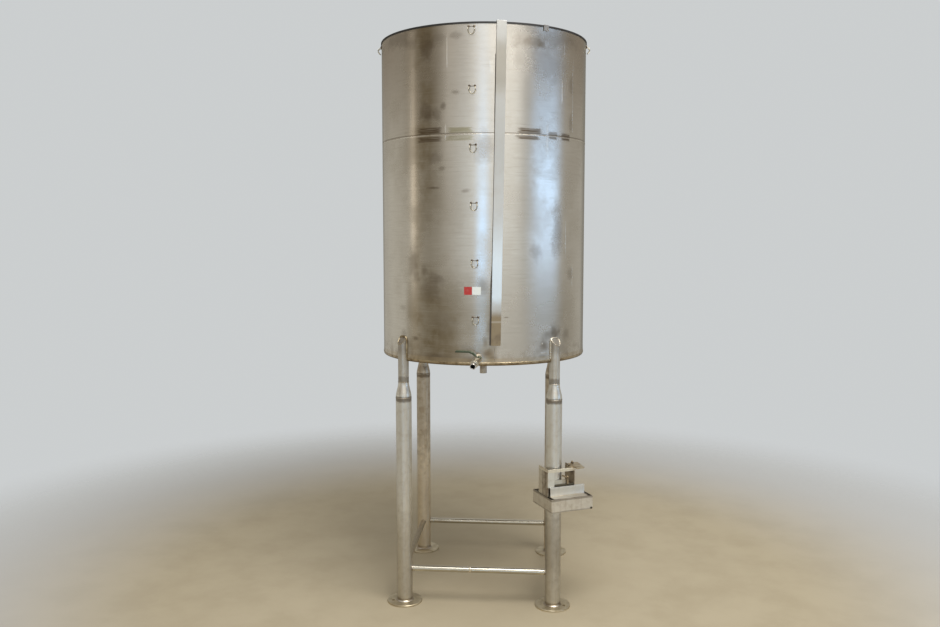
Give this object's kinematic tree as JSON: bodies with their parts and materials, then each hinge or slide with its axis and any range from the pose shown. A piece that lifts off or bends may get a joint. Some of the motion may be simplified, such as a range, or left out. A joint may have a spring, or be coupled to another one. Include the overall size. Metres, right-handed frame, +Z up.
{
  "type": "vertical storage tank",
  "caption": "Open-topped round stainless steel storage tank with a shallow cone bottom on four braced pipe legs, with a lever drain valve, a gauge strip, tie loops and a bracket.",
  "frame": {"origin": "on the floor, in the middle of the bounding box's underside; the tank's own axis stands 14 mm to the left of it and 56 mm behind it", "axes": "+Z up along the tank; -Y is the drain side, +X is the right-hand side seen from there"},
  "size_m": [1.2592, 1.357, 3.221],
  "materials": {
    "shell_steel": "brushed stainless sheet, a little stained",
    "pipe_steel": "stainless pipe, blued at the welds",
    "loop_steel": "bent stainless rod, dark at the welds",
    "rail_steel": "polished stainless pipe",
    "strip_steel": "satin flat bar",
    "valve_steel": "cast and turned stainless",
    "channel_steel": "bright folded sheet",
    "bracket_steel": "flat bars with brown stains",
    "black_trim": "matt black edge strip",
    "green_lever": "dark green dipped grip",
    "label_paper": "blank sticker"
  },
  "bodies": {
    "tank": {"shell_lower_right": "shell_steel", "shell_lower_left": "shell_steel", "shell_upper_right": "shell_steel", "shell_upper_left": "shell_steel", "bottom_cone": "shell_steel", "outlet_socket": "pipe_steel", "rim_trim": "black_trim", "gauge_strip": "strip_steel", "rim_clip": "valve_steel", "tie_loop_1": "loop_steel", "tie_loop_2": "loop_steel", "tie_loop_3": "loop_steel", "tie_loop_4": "loop_steel", "tie_loop_5": "loop_steel", "tie_loop_6": "loop_steel", "lifting_loop_left": "loop_steel", "lifting_loop_right": "loop_steel", "lifting_loop_rear": "loop_steel", "blank_label": "label_paper", "foot_front_left": "pipe_steel", "leg_front_left": "pipe_steel", "reducer_front_left": "pipe_steel", "stub_front_left": "pipe_steel", "foot_front_right": "pipe_steel", "leg_front_right": "pipe_steel", "reducer_front_right": "pipe_steel", "stub_front_right": "pipe_steel", "foot_rear_left": "pipe_steel", "leg_rear_left": "pipe_steel", "reducer_rear_left": "pipe_steel", "stub_rear_left": "pipe_steel", "foot_rear_right": "pipe_steel", "leg_rear_right": "pipe_steel", "reducer_rear_right": "pipe_steel", "stub_rear_right": "pipe_steel", "rail_front": "rail_steel", "rail_rear": "rail_steel", "rail_left": "rail_steel", "rail_right": "rail_steel", "drain_valve_body": "valve_steel", "drain_spout": "valve_steel", "drain_nozzle": "valve_steel", "bracket_floor": "bracket_steel", "bracket_front_post": "bracket_steel", "bracket_rear_post": "bracket_steel", "bracket_clamp_bar": "bracket_steel", "bracket_side_plate": "bracket_steel", "bracket_top_bars": "bracket_steel", "bracket_ear": "bracket_steel", "bracket_channel": "channel_steel", "bracket_tray": "bracket_steel"},
    "lever": {"drain_valve_lever": "green_lever", "drain_valve_stem": "valve_steel"}
  },
  "joints": [
    {"name": "drain_lever_turn", "type": "hinge", "parent": "tank", "child": "lever", "pos_m": [-0.01294, -0.61359, 1.4286], "axis": [0.3056, -0.2523, 0.9181], "range_deg": [0, 90]}
  ]
}
